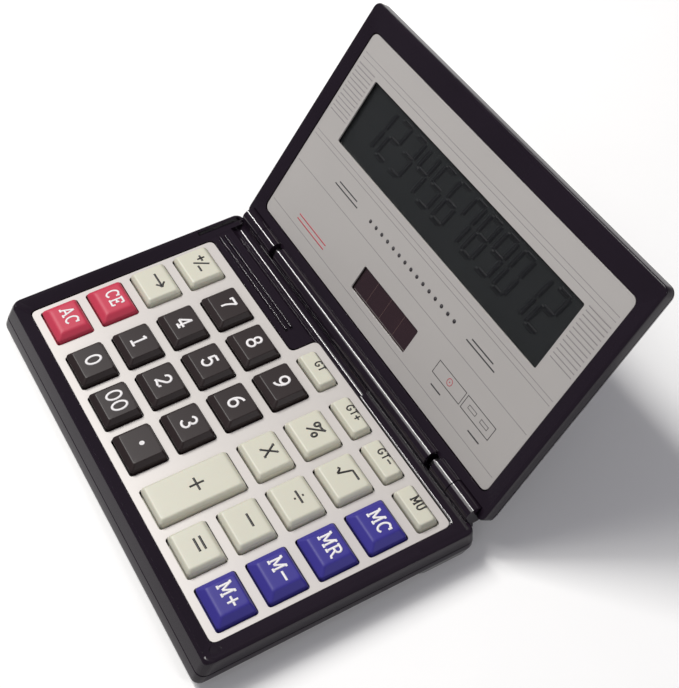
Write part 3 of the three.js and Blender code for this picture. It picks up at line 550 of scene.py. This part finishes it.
# Lid shells
# The lid is a shallow frame and a rounded back of the same glossy plastic. The frame's lower
# edge forms the hinge's middle barrel and inner knuckles, turning on two steel pins.
moulded("lid_frame_moulding", "lid_frame", "lid", gloss_black, shell_edge)
moulded("lid_back_moulding", "lid_back_shell", "lid", gloss_black, shell_edge)


# Screws, hinge pins and feet
# Bright plated steel screws with cross recesses hold the shells from below and behind, and the
# headed hinge pins are of blackened steel. Two soft rubber feet stand under the thin front.
bright_steel = grained(
    "bright_plated_steel", (0.56, 0.56, 0.58), 0.22, 0.25, 0.004, mottle=0.05, streak=(1, 1, 6),
    Metallic=1.0)
foot_rubber = grained("foot_rubber", (0.018, 0.018, 0.018), 0.75, 0.3, 0.02, mottle=0.15)
black_steel = grained(
    "blackened_steel", (0.03, 0.028, 0.03), 0.2, 0.25, 0.004, mottle=0.2, Metallic=0.8)
for node in frame["nodes"]:
    if "screw" in node:
        body = "lid" if node.startswith("lid") else "case"
        moulded(f"{node}_steel", node, body, bright_steel, 0.05, 2)
    elif node.startswith("hinge_pin"):
        moulded(f"{node}_steel", node, "case", black_steel, 0.15, 3)
    elif node.startswith("front_foot"):
        moulded(f"{node}_pad", node, "case", foot_rubber, 0.25, 3)


# Display plate
# A satin grey sheet is laid into the lid's frame, with openings for the display and the solar
# cell. Rules, combs of thin stripes, small boxes and a row of dots are screen-printed on it.
hinge = next(joint for joint in frame["joints"] if joint["name"] == "lid_hinge")
hinge_axis = Vector(hinge["pos_m"])
lid_lean = math.radians(180 - hinge["range_deg"][1])
lid_face_drop = 0.8 * mm  # plate's face below the hinge axis
on_lid = (
    Matrix.Translation(hinge_axis) @ Matrix.Rotation(lid_lean, 4, "X")
    @ Matrix.Translation((0, 0, -lid_face_drop)))
display_sheet = grained(
    "satin_grey_lacquer", (0.47, 0.45, 0.43), 0.4, 0.15, 0.006, mottle=0.04, Metallic=0.25,
    Specular_IOR_Level=0.6)
moulded("display_plate_sheet", "lid_face_plate", "lid", display_sheet, 0.2)
soft_ink = grained("grey_screen_ink", (0.27, 0.25, 0.25), 0.5, 0.2, 0.003, mottle=0.1)
dark_ink = grained("black_screen_ink", (0.02, 0.016, 0.02), 0.45, 0.2, 0.003, mottle=0.1)
red_ink = grained("red_screen_ink", (0.45, 0.05, 0.07), 0.45, 0.2, 0.003, mottle=0.1)


def rule(x, y):
    """A level line between two places across."""
    return [(x[0], y), (x[1], y)]


def frame_box(x, y):
    """An empty box between two places across and two up."""
    return [(x[0], y[0]), (x[1], y[0]), (x[1], y[1]), (x[0], y[1]), (x[0], y[0])]


def screened(name, paths, width, ink, thickness):
    """Lines screen-printed on the display plate, measured from the hinge and the lid's middle."""
    printed(name, paths, width, on_lid, "lid", ink, thickness)


bold, faint = 0.03, 0.02  # thickness of the two printings, in mm
dot_count, dot_pitch, dot_row, dot_radius = 15, 3.2, 30.1, 0.3
dots = [
    ring((i - (dot_count - 1) / 2) * dot_pitch, dot_row, dot_radius, dot_radius)
    for i in range(dot_count)]
screened("printed_dots", dots, 2 * dot_radius, dark_ink, bold)
red_rules = [rule((-48.0, -31.8), y) for y in (13.8, 12.4)]
screened("printed_red_rules", red_rules, 0.4, red_ink, bold)
comb_count, comb_start, comb_pitch = 13, 44.2, 1.36
rule_end, comb_end = 61.2, 52.4  # from the lid's middle
comb_rows = [comb_start + i * comb_pitch for i in range(comb_count)]
comb = [
    rule(x, y) for y in comb_rows for x in ((-rule_end, -comb_end), (comb_end, rule_end))]
screened("printed_comb", comb, 0.34, soft_ink, faint)
long_rules = [rule((-rule_end, rule_end), y) for y in (64.0, 62.4, 36.6, 35.1, 25.3, 10.2)]
screened("printed_long_rules", long_rules, 0.22, soft_ink, faint)
short_rules = [
    rule((-41.2, -31.0), 30.8), rule((-42.6, -29.6), 29.5), rule((30.5, 40.5), 30.8),
    rule((29.0, 42.3), 29.5), rule((28.3, 33.0), 13.1), rule((46.6, 51.8), 13.1)]
screened("printed_short_rules", short_rules, 0.4, dark_ink, bold)
box_rows, cell_rows = (15.7, 19.7), (17.2, 18.2)
large_boxes = [frame_box(x, box_rows) for x in ((26.3, 39.4), (40.3, 53.2))]
screened("printed_boxes", large_boxes, 0.28, dark_ink, bold)
small_boxes = [frame_box(x, cell_rows) for x in ((42.4, 45.8), (48.0, 51.2))]
screened("printed_cells", small_boxes, 0.2, dark_ink, bold)
red_marks = [ring(33.0, 17.7, radius, radius) for radius in (1.0, 0.11)]
screened("printed_red_mark", red_marks, 0.22, red_ink, bold)


# Display and solar cell
# A dark reflective display lies under a clear acrylic pane, with slanted seven-bar figures and
# the faint shadow that they throw on its backing. The amorphous solar cell has four dark strips.
bar_width, figure_height, figure_pitch, figure_space = 1.25, 14.4, 7.63, 2.9
bar_trim = 0.35 * bar_width  # left clear at each end of a bar
slant = math.tan(math.radians(9))
bars = {  # from and to, in halves of the figure's width and quarters of its height
    "top": ((-1, 2), (1, 2)), "middle": ((-1, 0), (1, 0)), "bottom": ((-1, -2), (1, -2)),
    "upper_left": ((-1, 2), (-1, 0)), "upper_right": ((1, 2), (1, 0)),
    "lower_left": ((-1, 0), (-1, -2)), "lower_right": ((1, 0), (1, -2)),
}
lit_bars = {
    "0": "top bottom upper_left upper_right lower_left lower_right",
    "1": "upper_right lower_right",
    "2": "top upper_right middle lower_left bottom",
    "3": "top upper_right middle lower_right bottom",
    "4": "upper_left upper_right middle lower_right",
    "5": "top upper_left middle lower_right bottom",
    "6": "top upper_left middle lower_left lower_right bottom",
    "7": "top upper_left upper_right lower_right",
    "8": "top middle bottom upper_left upper_right lower_left lower_right",
    "9": "top upper_left upper_right middle lower_right bottom",
}
figure_middle = Vector((1.2, 51.3))
shown_figures = "123456789012"
figure_strokes = []
for place, figure in enumerate(shown_figures):
    across = figure_middle.x + (place - (len(shown_figures) - 1) / 2) * figure_pitch
    for bar in lit_bars[figure].split():
        start, end = (
            Vector((x * (figure_pitch - figure_space) / 2, y * (figure_height - bar_width) / 4))
            for x, y in bars[bar])
        trim = (end - start).normalized() * bar_trim
        figure_strokes.append([
            (across + p.x + p.y * slant, figure_middle.y + p.y) for p in (start + trim, end - trim)])


def face_of(node):
    """The matrix of a lid part's upper face, set out as the display plate's is."""
    corners = frame["nodes"][node].data.vertices
    return on_lid @ Matrix.Translation(
        (0, 0, max((on_lid.inverted() @ corner.co).z for corner in corners)))


def surfaced(node, material):
    """The CAD solid itself, given its finish."""
    mesh = frame["nodes"][node].data
    mesh.materials.clear()
    mesh.materials.append(material)


display_glass = grained(
    "display_glass", (0.047, 0.050, 0.052), 0.3, 0.8, 0.001, mottle=0.12, Specular_IOR_Level=0.2)
figure_ink = grained(
    "figure_crystal", (0.007, 0.005, 0.010), 0.35, 0.8, 0.001, mottle=0.1, Specular_IOR_Level=0.2)
shadow_ink = grained(
    "figure_shadow", (0.022, 0.022, 0.026), 0.35, 0.8, 0.001, mottle=0.1, Specular_IOR_Level=0.2)
surfaced("lcd_panel", display_glass)
figure_rise = Vector((0, 0, 0.02)) * mm
shadow_throw = Vector((-0.9, -0.6, 0.01)) * mm  # from the glass, so it lies under the figures
for name, offset, ink, thickness in (
        ("display_figures", figure_rise, figure_ink, 0.012),
        ("display_figure_shadow", shadow_throw, shadow_ink, 0.01)):
    printed(
        name, figure_strokes, bar_width, face_of("lcd_panel") @ Matrix.Translation(offset), "lid",
        ink, thickness)
pane = grained("clear_acrylic", (0.02, 0.022, 0.022), 0.06, 4.0, 0.0005, mottle=0.02, Alpha=0.3)
solar_film = grained(
    "amorphous_solar_film", (0.022, 0.008, 0.011), 0.12, 0.8, 0.003, mottle=0.35, Coat_Weight=0.6,
    Coat_Roughness=0.03)
strip_gap = grained("solar_strip_gap", (0.09, 0.05, 0.045), 0.3, 0.4, 0.002, mottle=0.1)
surfaced("display_window", pane)
surfaced("solar_cell", solar_film)
strip_pitch, strip_ends = 7.3, (12.4, 19.8)
strip_gaps = [[(i * strip_pitch, end) for end in strip_ends] for i in (-1, 0, 1)]
printed(
    "solar_strip_gaps", strip_gaps, 0.16, face_of("solar_cell"), "lid", strip_gap,
    0.02)


# Inside parts
# A green glass-fibre board lies under a milky film of switch domes; the display has its own board
# and a rubber contact strip, joined by an amber flat cable. A coin cell sits between steel springs.
board_green = grained("solder_mask", (0.02, 0.13, 0.05), 0.35, 1.2, 0.01, mottle=0.3)
milky_film = grained("milky_dome_film", (0.7, 0.7, 0.66), 0.45, 0.5, 0.005, mottle=0.05)
amber_film = grained("amber_flat_cable", (0.42, 0.17, 0.04), 0.3, 0.4, 0.004, mottle=0.12)
strip_rubber = grained("contact_strip_rubber", (0.03, 0.03, 0.03), 0.7, 0.2, 0.01, mottle=0.2)
inside = {
    "dome_sheet": milky_film, "key_board": board_green, "display_board": board_green,
    "flex_cable": amber_film, "lcd_connector_strip": strip_rubber, "battery_cell": bright_steel,
    "battery_contact_positive": bright_steel, "battery_contact_negative": bright_steel,
}
for node, material in inside.items():
    surfaced(node, material)
